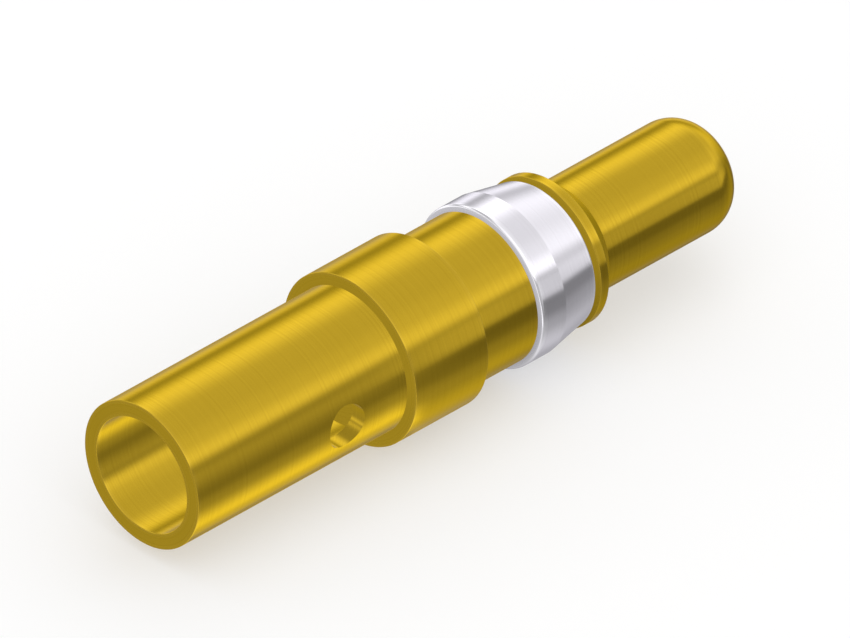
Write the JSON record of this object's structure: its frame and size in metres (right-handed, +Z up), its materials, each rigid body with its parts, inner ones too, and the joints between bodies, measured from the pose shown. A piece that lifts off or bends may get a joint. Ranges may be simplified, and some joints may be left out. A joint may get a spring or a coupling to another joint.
{
  "type": "crimp pin contact",
  "caption": "Turned, gold-plated crimp pin contact: wire barrel with inspection hole, collar, split spring retaining clip in a groove, flange and round-nosed pin.",
  "frame": {"origin": "centre of the crimp mouth, on the contact's axis", "axes": "+X along the contact's axis from the crimp mouth to the pin tip, inspection hole facing -Y, +Z up: the contact lies on its side"},
  "size_m": [0.0228, 0.0054, 0.0054],
  "materials": {
    "gold_plated_body": "turned and gold plated, satin bright, with fine turning marks round the axis",
    "spring_steel_clip": "bright rolled stainless spring strip, softly brushed"
  },
  "bodies": {
    "root": {"contact_body": "gold_plated_body", "retaining_clip": "spring_steel_clip"}
  },
  "joints": []
}
